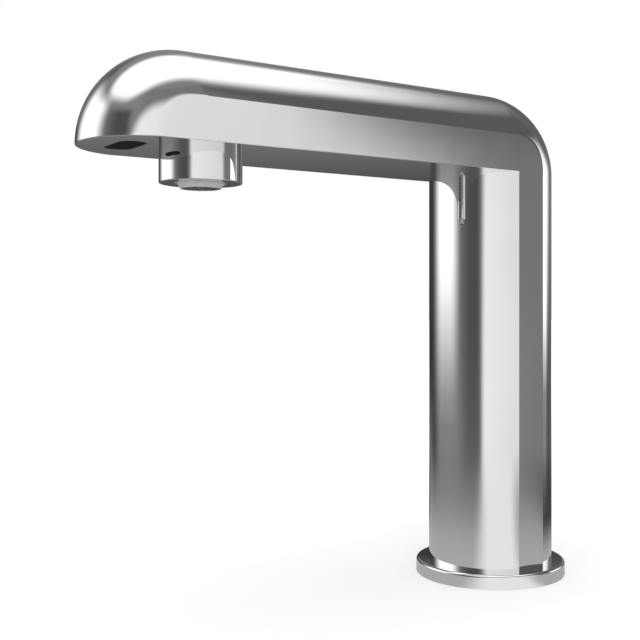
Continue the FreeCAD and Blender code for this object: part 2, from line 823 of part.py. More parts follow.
def sensor_gasket():
    """Rubber frame between the window and the ledge of its recess."""
    low = window_back
    high = window_back + sensor_gasket_thickness
    frame = rounded_block(window_width - 2 * fit_clearance, window_length - 2 * fit_clearance,
                          window_corner - fit_clearance, low, high, 0, -window_reach)
    opening = rounded_block(opening_width, opening_length, opening_corner, low, high, 0, -window_reach)
    return frame.cut(opening)


def sensor_housing():
    """Moulded cup behind the window, open towards it."""
    top = window_back + housing_height
    outer = rounded_block(housing_width, housing_length, housing_corner, window_back, top, 0, -window_reach)
    inner = rounded_block(housing_width - 2 * housing_wall, housing_length - 2 * housing_wall,
                          housing_corner - housing_wall, window_back, top - housing_wall, 0, -window_reach)
    lead_hole = rod(housing_lead_radius, top - housing_wall, top, 0, -window_reach)
    return outer.cut(inner).cut(lead_hole)


def sensor_board():
    """Circuit board that carries both eyes."""
    x_size = housing_width - 2 * housing_wall - 2 * fit_clearance
    y_size = housing_length - 2 * housing_wall - 2 * fit_clearance
    low = window_back + board_level
    corner = housing_corner - housing_wall
    return rounded_block(x_size, y_size, corner, low, low + board_thickness, 0, -window_reach)


def infrared_eye(x):
    """Domed infrared diode with two leads up to the board."""
    tip = window_back + eye_gap
    lens = Part.makeSphere(eye_radius, FreeCAD.Vector(x, -window_reach, tip + eye_radius))
    base_top = tip + 3 * eye_radius
    barrel = rod(eye_radius, tip + eye_radius, base_top, x, -window_reach)
    leads = []
    for side in (-1, 1):
        leads.append(rod(eye_lead_radius, base_top, window_back + board_level,
                         x + side * eye_lead_pitch / 2, -window_reach))
    return fused([barrel, lens] + leads)


def ir_emitter():
    """Diode that sends the infrared beam."""
    return infrared_eye(-eye_spacing / 2)


def ir_receiver():
    """Diode that sees the beam come back."""
    return infrared_eye(eye_spacing / 2)


def sensor_clip():
    """Spring clip over the housing whose barbs hold it above the floor."""
    half_inner = housing_width / 2 + fit_clearance
    half_outer = half_inner + clip_thickness
    barb_low = floor_top + touch_gap
    bridge_low = window_back + housing_height + fit_clearance
    bridge_top = bridge_low + clip_thickness
    centre_y = -window_reach
    bridge = block(2 * half_outer, clip_width, bridge_low, bridge_top, 0, centre_y)
    lead_hole = rod(housing_lead_radius, bridge_low, bridge_top, 0, centre_y)
    pieces = [bridge.cut(lead_hole)]
    for side in (-1, 1):
        arm_middle = side * (half_inner + clip_thickness / 2)
        barb_middle = side * (half_inner + clip_barb / 2)
        pieces.append(block(clip_thickness, clip_width, barb_low, bridge_top, arm_middle, centre_y))
        pieces.append(block(clip_barb, clip_width, barb_low, barb_low + clip_thickness, barb_middle, centre_y))
    return fused(pieces)


# ---- Derived places ----
valve_base = hub_height
socket_floor = valve_base + socket_level
socket_top = socket_floor + socket_depth
spigot_floor = hub_height - spigot_length
spigot_end = spigot_floor + strainer_wall
inlet_seal_low = hub_height - small_seal_section
diaphragm_low = valve_base + valve_body_height
diaphragm_top = diaphragm_low + diaphragm_thickness
plate_top = diaphragm_top + plate_upper_thickness
pilot_chamber_top = plate_top + plate_lift + plate_headroom
bonnet_top = diaphragm_low + bonnet_height
seal_low = plate_top + touch_gap
plunger_low = seal_low + plunger_seal_proud
plunger_top = plunger_low + plunger_length
fixed_core_low = plunger_top + plunger_lift + touch_gap
tube_end = fixed_core_low + fixed_core_length
coil_length = tube_end - bonnet_top - yoke_thickness
stud_top = tube_end + yoke_thickness + nut_height
run_axis = underside_height + run_height
port_end_y = -outlet_reach + elbow_radius + elbow_port_length
neck_top = underside_height + neck_length
collar_bottom = underside_height - collar_drop
collar_seal_radius = (neck_radius + collar_diameter / 2) / 2
washer_top = collar_bottom + aerator_body_height + washer_thickness
grid_low = collar_bottom - cone_drop + aerator_lip_height
grid_top = grid_low + grid_thickness
core_low = grid_top + screen_count * screen_spacing
window_back = underside_height + window_inset + window_thickness
opening_width = window_width - 2 * window_ledge
opening_length = window_length - 2 * window_ledge
opening_corner = window_corner - window_ledge
housing_width = opening_width - 4 * fit_clearance
housing_length = opening_length - 4 * fit_clearance
housing_corner = opening_corner - 2 * fit_clearance

NODES = (
    tap_body, base_ring, base_gasket, base_hub, hub_seal, lead_grommet, inlet_strainer, valve_body,
    inlet_seal, valve_diaphragm, diaphragm_plate, valve_bonnet, valve_screws, armature_tube, fixed_core,
    plunger, plunger_seal, plunger_spring, coil_bobbin, coil_winding, coil_yoke, coil_nut, water_tube,
    tube_seals, outlet_elbow, outlet_collar, collar_seal, aerator_housing, aerator_grid, aerator_core,
    aerator_screens, aerator_washer, sensor_window, sensor_gasket, sensor_housing, sensor_board,
    ir_emitter, ir_receiver, sensor_clip,
)

os.makedirs("parts", exist_ok=True)
for make in NODES:
    shape = make()
    if not shape.isValid():
        raise RuntimeError("invalid solid: " + make.__name__)
    shape.exportStep("parts/" + make.__name__ + ".step")
    print(make.__name__, len(shape.Solids), round(shape.Volume, 1))
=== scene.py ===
import json
import math

import bmesh
import bpy
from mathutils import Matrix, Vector


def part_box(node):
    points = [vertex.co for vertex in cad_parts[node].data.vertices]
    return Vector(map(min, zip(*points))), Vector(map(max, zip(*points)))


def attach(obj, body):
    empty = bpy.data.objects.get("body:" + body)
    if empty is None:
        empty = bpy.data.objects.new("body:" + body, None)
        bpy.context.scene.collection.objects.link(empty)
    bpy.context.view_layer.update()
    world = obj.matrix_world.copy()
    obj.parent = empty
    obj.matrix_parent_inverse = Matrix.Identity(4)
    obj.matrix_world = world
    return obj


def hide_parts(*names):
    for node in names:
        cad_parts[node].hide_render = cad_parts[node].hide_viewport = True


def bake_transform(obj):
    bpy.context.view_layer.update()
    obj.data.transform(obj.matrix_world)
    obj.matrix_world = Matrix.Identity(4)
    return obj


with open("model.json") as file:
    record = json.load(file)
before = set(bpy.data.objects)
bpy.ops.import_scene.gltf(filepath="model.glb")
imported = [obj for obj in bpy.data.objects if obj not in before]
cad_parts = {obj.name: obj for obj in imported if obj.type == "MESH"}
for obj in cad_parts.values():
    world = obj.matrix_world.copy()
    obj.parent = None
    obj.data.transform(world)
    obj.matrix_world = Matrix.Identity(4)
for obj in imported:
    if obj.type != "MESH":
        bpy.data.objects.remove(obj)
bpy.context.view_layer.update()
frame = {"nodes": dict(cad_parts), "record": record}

# Sensor tap, dressed for looks: finer visible pieces, materials, studio and camera.
# Shapes are written in millimetres from the middle of the column's foot and built in metres.
MM = 0.001

# ---- Sizes of the body ----
BAR_RADIUS = 22.5         # round part of column and spout
FLAT_OFFSET = 21.75       # flat sides from the middle
UNDERSIDE = 145.5         # spout's flat underside above the deck
SPOUT_DEPTH = 29.5        # from underside to crown
CROWN = SPOUT_DEPTH - BAR_RADIUS     # from underside to the middle of the round part
FOOT = 5.0                # the column stands on the base ring
ELBOW_Y = -7.0            # line that the crown turns about at the elbow
NOSE_Y = -126.799         # and at the nose
RIM_ROUND = 0.4           # rounding between sides and underside
RIM_RUN_OUT = 8           # length of the rounding's start at the column, in RIM_ROUND
BORE = 20.0               # room inside column and spout
FLOOR_TOP = 148.5         # upper face of the spout's floor
OUTLET_Y = -118.0
OUTLET_HOLE = 10.2
HALF_ARC = math.asin(FLAT_OFFSET / BAR_RADIUS)
PAST = 1.0                # how far a cutter stands past what it cuts
OVERLAP = 0.05            # of the two cutters that meet in the elbow
WELD = 1e-4               # vertices closer than this are one

# ---- Sizes of the window ----
WINDOW_Y = -142.4
RECESS_WIDTH, RECESS_LENGTH, RECESS_CORNER = 18.6, 8.4, 4.0
RECESS_DEPTH = 1.8
LEDGE = 1.0               # step round the way behind the pane
PANE_GAP = 0.05           # all round the pane
PANE_LOW, PANE_TOP = UNDERSIDE + 0.02, UNDERSIDE + 1.3
PANE_RIM = ((0.0, 0.12), (0.02, 0.06), (0.06, 0.02), (0.12, 0.0))   # inset, height

# ---- Sizes of the turned pieces ----
# _LOW and _TOP are heights above the deck, _EDGE is the rounding of an edge, the rest radii.
RING_RADIUS, RING_EDGE = 27.25, 1.0
GROOVE_IN, GROOVE_OUT, GROOVE_DEPTH = 22.0, 25.0, 2.0               # for the gasket
COLLAR_RADIUS, COLLAR_LOW, COLLAR_EDGE = 12.75, 135.8, 0.3
SEAL_OUT, SEAL_IN, SEAL_TOP = 12.02, 10.73, 144.3                   # groove for the collar's seal
NECK_RADIUS, NECK_TOP, NECK_WAY = 10.0, 153.5, 7.0
AERATOR_SEAT, AERATOR_TOP = 8.25, 144.2
MOUTH_RADIUS, MOUTH_LOW, MOUTH_TOP, MOUTH_EDGE = 6.0, 134.2, 134.9, 0.05
CONE_RADIUS, CONE_TIP, CONE_EDGE, INNER_CONE_TOP = 7.3, 6.3, 0.1, 135.5
SLEEVE_OUT, SLEEVE_IN, SLEEVE_LOW, SLEEVE_TOP = 8.2, 6.8, 136.9, 143.0
FINE_EDGE = 0.15

# ---- Sizes of wires ----
MESH_LEVEL, MESH_PITCH, MESH_WIRE, MESH_LIFT = 134.62, 0.95, 0.17, 1.1
MESH_HOLD = 0.1           # how far the wires reach into the cone
MESH_MARGIN = 0.01        # no wire nearer to the rim than this share of the pitch
SPRING_WIRE, SPRING_RADIUS, SPRING_TURNS = 0.25, 2.0, 6

# ---- Fineness and shading ----
ARC_STEPS = 72
TURN_STEPS = 56
ROUND_STEPS = 8
INSIDE_STEPS = 24
CIRCLE_STEPS = 128
CORNER_STEPS = 12
LATHE_STEPS, RING_STEPS = 192, 256
MESH_SIDES, MESH_STEPS, MESH_LEAST = 8, 6, 8
SPRING_SIDES, SPRING_STEPS = 10, 24
SHARP_ANGLE = math.radians(12.5)
TURNED_ANGLE = math.radians(22)      # creases up to this angle shade softly on elbow and nose
NARROW_STRIP = math.radians(0.8)     # strip of the round part beside a flat, on straight parts
WIDE_STRIP = math.radians(6)         # and on turns, where the crease shades over it
LEAD_IN = 1.0                        # short strips that part straight from turned shading
FAN_EDGES = 6                        # a corner with more edges than this stays sharp
FLAT_WEIGHT = 80

collection = bpy.context.scene.collection


# ---- Mesh helpers ----
def new_object(name, bm):
    """Object in metres from a closed bmesh in millimetres, with its faces turned outward."""
    bmesh.ops.recalc_face_normals(bm, faces=bm.faces[:])
    if bm.calc_volume(signed=True) < 0:
        bmesh.ops.reverse_faces(bm, faces=bm.faces[:])
    bmesh.ops.scale(bm, vec=(MM, MM, MM), verts=bm.verts[:])
    mesh = bpy.data.meshes.new(name)
    bm.to_mesh(mesh)
    bm.free()
    obj = bpy.data.objects.new(name, mesh)
    collection.objects.link(obj)
    return obj


def on_a_turn(vert):
    """Whether a vertex in metres lies on the elbow or the nose."""
    y, z = vert.co.y, vert.co.z
    return y < NOSE_Y * MM or (y > ELBOW_Y * MM and z > UNDERSIDE * MM)


def shade(obj):
    """Smooth shading with sharp creases, softer where the bar turns at elbow and nose."""
    bm = bmesh.new()
    bm.from_mesh(obj.data)
    for face in bm.faces:
        face.smooth = True
    for edge in bm.edges:
        limit = TURNED_ANGLE if all(on_a_turn(vert) for vert in edge.verts) else SHARP_ANGLE
        fan = any(len(vert.link_edges) > FAN_EDGES for vert in edge.verts)
        joined = len(edge.link_faces) == 2
        edge.smooth = joined and not fan and edge.calc_face_angle(0.0) < limit
    bm.to_mesh(obj.data)
    bm.free()
    weighted = obj.modifiers.new("weighted", "WEIGHTED_NORMAL")
    weighted.keep_sharp = True
    weighted.weight = FLAT_WEIGHT
    return obj


def around(step, steps):
    """Angle of one of so many even steps round a full turn."""
    return 2 * math.pi * step / steps


def strip(bm, rows):
    """Quads between rows of vertices; a vertex that repeats gives triangles."""
    for low, high in zip(rows, rows[1:]):
        for i in range(len(low) - 1):
            corners = []
            for vert in (low[i], low[i + 1], high[i + 1], high[i]):
                if vert not in corners:
                    corners.append(vert)
            if len(corners) > 2:
                bm.faces.new(corners)


def capped(bm, rows):
    """Skin over closed rows of vertices, with a face at both ends."""
    strip(bm, [row + row[:1] for row in rows])
    bm.faces.new(rows[0])
    bm.faces.new(rows[-1])


def soften(profile):
    """Profile points (radius, height, rounding) with an arc at each rounded corner."""
    points = []
    count = len(profile)
    for i, (r, z, rounding) in enumerate(profile):
        if rounding == 0:
            points.append((r, z))
            continue
        here = Vector((r, z))
        before = (Vector(profile[i - 1][:2]) - here).normalized()
        after = (Vector(profile[(i + 1) % count][:2]) - here).normalized()
        half = before.angle(after) / 2
        start = here + before * (rounding / math.tan(half))
        centre = here + (before + after).normalized() * (rounding / math.sin(half))
        first = start - centre
        turn = math.pi - 2 * half
        sign = 1 if first.y * before.x - first.x * before.y > 0 else -1
        for step in range(ROUND_STEPS + 1):
            a = sign * turn * step / ROUND_STEPS
            x = first.x * math.cos(a) - first.y * math.sin(a)
            y = first.x * math.sin(a) + first.y * math.cos(a)
            points.append((centre.x + x, centre.y + y))
    return points


def lathe(name, profile, y=0.0, steps=LATHE_STEPS):
    """Closed ring turned about an upright axis at (0, y)."""
    bm = bmesh.new()
    points = soften(profile)
    rows = []
    for step in range(steps):
        a = around(step, steps)
        row = [bm.verts.new((r * math.cos(a), y + r * math.sin(a), z)) for r, z in points]
        rows.append(row + row[:1])
    strip(bm, rows + rows[:1])
    return new_object(name, bm)


def prism(name, outline, low, high):
    """Upright prism over an outline of (x, y) points."""
    bm = bmesh.new()
    bottom = [bm.verts.new((x, y, low)) for x, y in outline]
    top = [bm.verts.new((x, y, high)) for x, y in outline]
    bm.faces.new(bottom)
    bm.faces.new(top)
    strip(bm, [bottom + bottom[:1], top + top[:1]])
    return new_object(name, bm)


def circle(radius, y=0.0):
    """Outline of a circle about (0, y)."""
    angles = [around(step, CIRCLE_STEPS) for step in range(CIRCLE_STEPS)]
    return [(radius * math.cos(a), y + radius * math.sin(a)) for a in angles]


def oval(width, length, corner, y):
    """Outline of a rectangle with rounded corners, centred on (0, y)."""
    points = []
    for quarter in range(4):
        sx = 1 if quarter in (0, 3) else -1
        sy = 1 if quarter in (0, 1) else -1
        for step in range(CORNER_STEPS + 1):
            a = math.pi / 2 * (quarter + step / CORNER_STEPS)
            points.append((sx * (width / 2 - corner) + corner * math.cos(a),
                           y + sy * (length / 2 - corner) + corner * math.sin(a)))
    return points


def carve(obj, cutter):
    """Takes the cutter's volume out of the object for good."""
    boolean = obj.modifiers.new("carve", "BOOLEAN")
    boolean.operation = "DIFFERENCE"
    boolean.solver = "EXACT"
    boolean.object = cutter
    bpy.context.view_layer.update()
    depsgraph = bpy.context.evaluated_depsgraph_get()
    mesh = bpy.data.meshes.new_from_object(obj.evaluated_get(depsgraph))
    obj.modifiers.remove(boolean)
    obj.data = mesh
    bpy.data.objects.remove(cutter)


# ---- Body ----
def arc_angles(half, steps):
    """Even angles from -half to half."""
    return [-half + 2 * half * i / steps for i in range(steps + 1)]


def quarter_turn(step, steps):
    """Angle of one of so many even steps of a quarter turn."""
    return math.pi / 2 * step / steps


def bar_section(turned):
    """Angles and (across, height) of the bar's round part; beside each flat lies a strip that
    shades into it, narrow on straight parts (turned 0) and wide on turns (1)."""
    edge = NARROW_STRIP + (WIDE_STRIP - NARROW_STRIP) * turned
    angles = [-HALF_ARC] + arc_angles(HALF_ARC - edge, ARC_STEPS) + [HALF_ARC]
    points = [(BAR_RADIUS * math.sin(a), BAR_RADIUS * math.cos(a)) for a in angles]
    points[0], points[-1] = (-FLAT_OFFSET, points[0][1]), (FLAT_OFFSET, points[-1][1])
    return angles, points


def body_outside():
    """Round bar with two flats: column, elbow, spout and nose as one closed skin."""
    bm = bmesh.new()

    # Back of the column, elbow, crown of the spout and nose, in rows across the bar.
    straight = bar_section(0.0)[1]
    rows = [[bm.verts.new((x, h, z)) for x, h in straight] for z in (FOOT, UNDERSIDE - LEAD_IN)]
    for step in range(TURN_STEPS + 1):
        a = quarter_turn(step, TURN_STEPS)
        points = bar_section(math.sin(2 * a) ** 2)[1]
        rows.append([bm.verts.new((x, ELBOW_Y + (CROWN + h) * math.cos(a),
                                   UNDERSIDE + (CROWN + h) * math.sin(a))) for x, h in points])
    rows += [[bm.verts.new((x, y, UNDERSIDE + CROWN + h)) for x, h in straight]
             for y in (ELBOW_Y - LEAD_IN, NOSE_Y + LEAD_IN)]
    for step in range(TURN_STEPS + 1):
        row = []
        turned = math.sin(min(math.pi * step / TURN_STEPS, math.pi / 2)) ** 2
        angles, points = bar_section(turned)
        for x, h in points:
            r = CROWN + h
            a = math.acos(RIM_ROUND / r) * step / TURN_STEPS
            row.append(bm.verts.new((x, NOSE_Y - r * math.sin(a), UNDERSIDE + r * math.cos(a))))
        rows.append(row)
    strip(bm, rows)

    # Front of the column, up to the underside.
    front_low, front_high = [[bm.verts.new((x, -h, z)) for x, h in straight]
                             for z in (FOOT, UNDERSIDE)]
    strip(bm, [front_low, front_high])

    # Rounded rim along both sides and round the nose; it starts from a point at the column.
    rim_start = front_high[0].co.y - RIM_RUN_OUT * RIM_ROUND
    left_wall, right_wall = [[bm.verts.new((side * FLAT_OFFSET, y, UNDERSIDE + RIM_ROUND))
                              for y in (rim_start, NOSE_Y)] for side in (-1, 1)]
    path = [front_high[-1]] + right_wall + rows[-1][::-1] + left_wall[::-1] + [front_high[0]]
    # The way that each vertex of the path faces; angles are those of the nose's last row.
    outward = [Vector((1, 0, 0))] * (1 + len(right_wall))
    outward += [Vector((math.sin(a), -math.cos(a), 0)) for a in angles[::-1]]
    outward += [Vector((-1, 0, 0))] * (len(left_wall) + 1)
    rim = [path]
    for step in range(1, ROUND_STEPS + 1):
        a = quarter_turn(step, ROUND_STEPS)
        row = [path[0]]
        for vert, away in zip(path[1:-1], outward[1:-1]):
            place = vert.co - away * RIM_ROUND * (1 - math.cos(a))
            place.z = UNDERSIDE + RIM_ROUND * (1 - math.sin(a))
            row.append(bm.verts.new(place))
        rim.append(row + [path[-1]])
    strip(bm, rim)

    # Underside, flat sides and foot.
    bm.faces.new(rim[-1] + front_high[1:-1])
    for side, wall in ((0, left_wall), (-1, right_wall)):
        crown_edge = [row[side] for row in rows]
        bm.faces.new(crown_edge + wall[::-1] + [front_high[side], front_low[side]])
    bm.faces.new(rows[0] + front_low[::-1])
    return new_object("body_shell", bm)


def spout_space():
    """Room inside elbow, spout and nose, above the spout's floor."""
    bm = bmesh.new()
    floor = FLOOR_TOP - UNDERSIDE
    section = [(BORE * math.sin(a), CROWN + BORE * math.cos(a))
               for a in arc_angles(math.pi / 2, 2 * INSIDE_STEPS)]
    section = [(-BORE, floor)] + section + [(BORE, floor)]
    # Across, reach beyond the line of the turn at the floor, and height above the floor.
    section = [(x, math.sqrt(max(r * r - floor * floor, 0.0)), r - floor) for x, r in section]
    turns = [quarter_turn(step, INSIDE_STEPS) for step in range(INSIDE_STEPS + 1)]
    rows = [[bm.verts.new((x, ELBOW_Y + reach * math.cos(a), FLOOR_TOP + rise * math.sin(a)))
             for x, reach, rise in section] for a in turns]
    rows += [[bm.verts.new((x, NOSE_Y - reach * math.sin(a), FLOOR_TOP + rise * math.cos(a)))
              for x, reach, rise in section] for a in turns]
    strip(bm, rows)
    bmesh.ops.remove_doubles(bm, verts=bm.verts[:], dist=WELD)
    bmesh.ops.holes_fill(bm, edges=bm.edges[:], sides=0)
    return new_object("spout_space", bm)


def window_outline(inset=0.0):
    """Outline of the window's recess, or one that lies inside it all round."""
    return oval(RECESS_WIDTH - 2 * inset, RECESS_LENGTH - 2 * inset, RECESS_CORNER - inset,
                WINDOW_Y)


body = body_outside()
carve(body, prism("column_space", circle(BORE), FOOT - PAST, FLOOR_TOP + OVERLAP))
carve(body, spout_space())
carve(body, prism("outlet_hole", circle(OUTLET_HOLE, OUTLET_Y), UNDERSIDE - PAST, FLOOR_TOP + PAST))
carve(body, prism("window_recess", window_outline(), UNDERSIDE - PAST, UNDERSIDE + RECESS_DEPTH))
carve(body, prism("window_way", window_outline(LEDGE), UNDERSIDE, FLOOR_TOP + PAST))
shade(body)

# ---- Turned pieces: (radius, height, rounding) round each section ----
ring = shade(lathe("ring", (
    (BORE, 0.0, 0), (GROOVE_IN, 0.0, 0), (GROOVE_IN, GROOVE_DEPTH, 0),
    (GROOVE_OUT, GROOVE_DEPTH, 0), (GROOVE_OUT, 0.0, 0), (RING_RADIUS, 0.0, FINE_EDGE),
    (RING_RADIUS, FOOT, RING_EDGE), (BORE, FOOT, 0)), steps=RING_STEPS))
collar = shade(lathe("collar", (
    (AERATOR_SEAT, COLLAR_LOW, FINE_EDGE), (COLLAR_RADIUS, COLLAR_LOW, COLLAR_EDGE),
    (COLLAR_RADIUS, UNDERSIDE, 0), (SEAL_OUT, UNDERSIDE, 0), (SEAL_OUT, SEAL_TOP, 0),
    (SEAL_IN, SEAL_TOP, 0), (SEAL_IN, UNDERSIDE, 0), (NECK_RADIUS, UNDERSIDE, 0),
    (NECK_RADIUS, NECK_TOP, 0), (NECK_WAY, NECK_TOP, 0), (NECK_WAY, AERATOR_TOP, 0),
    (AERATOR_SEAT, AERATOR_TOP, 0)), OUTLET_Y))
cone = shade(lathe("cone", (
    (MOUTH_RADIUS, MOUTH_LOW, MOUTH_EDGE), (CONE_TIP, MOUTH_LOW, CONE_EDGE),
    (CONE_RADIUS, COLLAR_LOW, 0), (CONE_RADIUS, SLEEVE_LOW, 0), (SLEEVE_OUT, SLEEVE_LOW, 0),
    (SLEEVE_OUT, SLEEVE_TOP, 0), (SLEEVE_IN, SLEEVE_TOP, 0), (SLEEVE_IN, INNER_CONE_TOP, 0),
    (MOUTH_RADIUS, MOUTH_TOP, 0)), OUTLET_Y))


# ---- Wires and window ----
def woven_mesh(radius):
    """Round disc of woven wire, every wire passing over and under its neighbours."""
    bm = bmesh.new()
    count = int(radius / MESH_PITCH - MESH_MARGIN)
    for along in (0, 1):
        for number in range(-count, count + 1):
            offset = number * MESH_PITCH
            reach = math.sqrt(radius * radius - offset * offset)
            points = max(MESH_LEAST, int(2 * reach / MESH_PITCH * MESH_STEPS))
            rows = []
            for i in range(points + 1):
                t = -reach + 2 * reach * i / points
                phase = math.pi * (t / MESH_PITCH + number + along)
                z = MESH_LEVEL + MESH_WIRE * MESH_LIFT * math.cos(phase)
                row = []
                for side in range(MESH_SIDES):
                    a = around(side, MESH_SIDES)
                    across, up = offset + MESH_WIRE * math.cos(a), z + MESH_WIRE * math.sin(a)
                    x, y = (t, across) if along == 0 else (across, t)
                    row.append(bm.verts.new((x, OUTLET_Y + y, up)))
                rows.append(row)
            capped(bm, rows)
    return new_object("wire_mesh", bm)


def window_pane():
    """Dark pane with softened rim."""
    bm = bmesh.new()
    rows = []
    for inset, z in ((0.0, PANE_TOP), *((inset, PANE_LOW + up) for inset, up in PANE_RIM)):
        rows.append([bm.verts.new((x, y, z)) for x, y in window_outline(PANE_GAP + inset)])
    capped(bm, rows)
    return new_object("window_pane", bm)


def coil_spring(foot, top, y):
    """Round wire wound from foot to top about an upright axis at (0, y)."""
    bm = bmesh.new()
    low, high = foot + SPRING_WIRE, top - SPRING_WIRE
    rise = (high - low) / (SPRING_TURNS * 2 * math.pi * SPRING_RADIUS)
    stations = SPRING_TURNS * SPRING_STEPS
    rows = []
    for i in range(stations + 1):
        a = around(i, SPRING_STEPS)
        row = []
        for side in range(SPRING_SIDES):
            b = around(side, SPRING_SIDES)
            out, up = SPRING_RADIUS + SPRING_WIRE * math.cos(b), SPRING_WIRE * math.sin(b)
            row.append(bm.verts.new((out * math.cos(a) + up * rise * math.sin(a),
                                     y + out * math.sin(a) - up * rise * math.cos(a),
                                     low + (high - low) * i / stations + up)))
        rows.append(row)
    capped(bm, rows)
    obj = new_object("coil_spring", bm)
    obj.data.shade_smooth()
    return obj


wire_mesh = shade(woven_mesh(MOUTH_RADIUS + MESH_HOLD))
pane = shade(window_pane())
spring_low, spring_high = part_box("plunger_spring")
spring_y = (spring_low[1] + spring_high[1]) / 2
spring = coil_spring(spring_low[2] / MM, spring_high[2] / MM, spring_y / MM)


# ---- Material helpers ----
NOISE_DETAIL = 3.0
GRAINS_PER_DRIFT = 20                # the colour drifts in spots this much larger than a grain
DRIFT_STOPS, FINE_STOPS = (0.35, 0.65), (0.3, 0.7)
RELIEF_HEIGHT = 0.0001


def node_material(name):
    """Node material with its tree, its principled shader and object coordinates in metres."""
    material = bpy.data.materials.new(name)
    material.use_nodes = True
    tree = material.node_tree
    shader = tree.nodes["Principled BSDF"]
    place = tree.nodes.new("ShaderNodeTexCoord")
    return material, tree, shader, place.outputs["Object"]


def noise(tree, place, scale, stretch=None):
    """Noise of so many grains per metre, stretched if asked."""
    if stretch:
        mapping = tree.nodes.new("ShaderNodeMapping")
        mapping.inputs["Scale"].default_value = stretch
        tree.links.new(place, mapping.inputs["Vector"])
        place = mapping.outputs["Vector"]
    texture = tree.nodes.new("ShaderNodeTexNoise")
    texture.inputs["Scale"].default_value = scale
    texture.inputs["Detail"].default_value = NOISE_DETAIL
    tree.links.new(place, texture.inputs["Vector"])
    return texture.outputs["Fac"]


def ramp(tree, value, stops, colours):
    """Colour that runs from the first colour at the first stop to the last at the last."""
    node = tree.nodes.new("ShaderNodeValToRGB")
    for element, position, colour in zip(node.color_ramp.elements, stops, colours):
        element.position = position
        element.color = (*colour, 1)
    tree.links.new(value, node.inputs["Fac"])
    return node.outputs["Color"]


def grey(value):
    """Neutral colour of one value."""
    return (value, value, value)


def bump(tree, shader, height):
    """Fine relief; returns the node, whose strength the caller sets."""
    node = tree.nodes.new("ShaderNodeBump")
    node.inputs["Distance"].default_value = RELIEF_HEIGHT
    tree.links.new(height, node.inputs["Height"])
    tree.links.new(node.outputs["Normal"], shader.inputs["Normal"])
    return node


def finish(name, light, dark, rough, metallic, grain, relief=0.0, specular=0.5, stretch=None):
    """Material whose colour and roughness drift over the surface, with optional fine relief."""
    material, tree, shader, place = node_material(name)
    shader.inputs["Metallic"].default_value = metallic
    shader.inputs["Specular IOR Level"].default_value = specular
    drift = noise(tree, place, grain / GRAINS_PER_DRIFT)
    fine = noise(tree, place, grain, stretch)
    tree.links.new(ramp(tree, drift, DRIFT_STOPS, (dark, light)), shader.inputs["Base Color"])
    tree.links.new(ramp(tree, fine, FINE_STOPS, [grey(value) for value in rough]),
                   shader.inputs["Roughness"])
    if relief:
        bump(tree, shader, fine).inputs["Strength"].default_value = relief
    return material


# ---- Finishes ----
# Slot: name, light and dark colour, roughness from and to, metallic, grains per metre, relief.
FINISHES = {
    "chrome": ("chrome", (0.836, 0.836, 0.838), (0.796, 0.796, 0.799), (0.012, 0.03), 1.0, 600.0),
    "window": (
        "window_black", (0.024, 0.024, 0.026), (0.018, 0.018, 0.020), (0.22, 0.30), 0.0, 500.0),
    "aerator_steel": (
        "aerator_steel", (0.34, 0.34, 0.34), (0.04, 0.04, 0.04), (0.25, 0.45), 1.0, 16000.0, 0.1),
    "aerator_plastic": (
        "aerator_plastic", (0.60, 0.60, 0.59), (0.52, 0.52, 0.51), (0.35, 0.5), 0.0, 3000.0, 0.1),
    "white_plastic": (
        "white_plastic", (0.78, 0.78, 0.76), (0.72, 0.72, 0.70), (0.4, 0.55), 0.0, 1500.0, 0.1),
    "brass": ("brass", (0.80, 0.60, 0.27), (0.70, 0.50, 0.20), (0.2, 0.35), 1.0, 1500.0, 0.1),
    "copper": ("copper", (0.80, 0.42, 0.28), (0.68, 0.33, 0.20), (0.2, 0.35), 1.0, 1200.0, 0.1),
    "winding": ("winding", (0.50, 0.16, 0.07), (0.36, 0.10, 0.04), (0.25, 0.45), 0.6, 4000.0, 0.6),
    "rubber": (
        "rubber", (0.030, 0.030, 0.032), (0.018, 0.018, 0.020), (0.55, 0.75), 0.0, 2500.0, 0.3),
    "steel": ("steel", (0.60, 0.60, 0.61), (0.48, 0.48, 0.50), (0.22, 0.38), 1.0, 1800.0, 0.1),
    "valve_plastic": (
        "valve_plastic", (0.10, 0.11, 0.13), (0.07, 0.08, 0.10), (0.4, 0.55), 0.0, 1800.0, 0.2),
    "board": ("board", (0.02, 0.16, 0.06), (0.012, 0.10, 0.04), (0.3, 0.5), 0.0, 1800.0, 0.1),
    "emitter": ("emitter", (0.30, 0.34, 0.46), (0.22, 0.25, 0.36), (0.08, 0.16), 0.0, 1200.0),
    "receiver": (
        "receiver", (0.020, 0.018, 0.024), (0.012, 0.010, 0.014), (0.08, 0.16), 0.0, 1200.0),
}
EXTRAS = {"window": {"specular": 0.0}, "winding": {"stretch": (0.05, 0.05, 1.0)}}
materials = {slot: finish(*row, **EXTRAS.get(slot, {})) for slot, row in FINISHES.items()}


def dress(obj, slot):
    """One finish all over the piece, tied to the record's slot."""
    obj.data.materials.clear()
    obj.data.materials.append(materials[slot])


for obj, node, slot in ((body, "tap_body", "chrome"), (ring, "base_ring", "chrome"),
                        (collar, "outlet_collar", "chrome"),
                        (cone, "aerator_housing", "aerator_plastic"),
                        (wire_mesh, "aerator_grid", "aerator_steel"),
                        (pane, "sensor_window", "window")):
    dress(obj, slot)
    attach(obj, "tap")
    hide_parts(node)

# A wound spring takes the place of the record's spring part, from its foot to its top.
dress(spring, "steel")
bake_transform(spring)
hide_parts("plunger_spring")

slot_of = {entry["node"]: entry["material_slot"] for entry in frame["record"]["subparts"]}
for node, obj in frame["nodes"].items():
    dress(obj, slot_of[node])

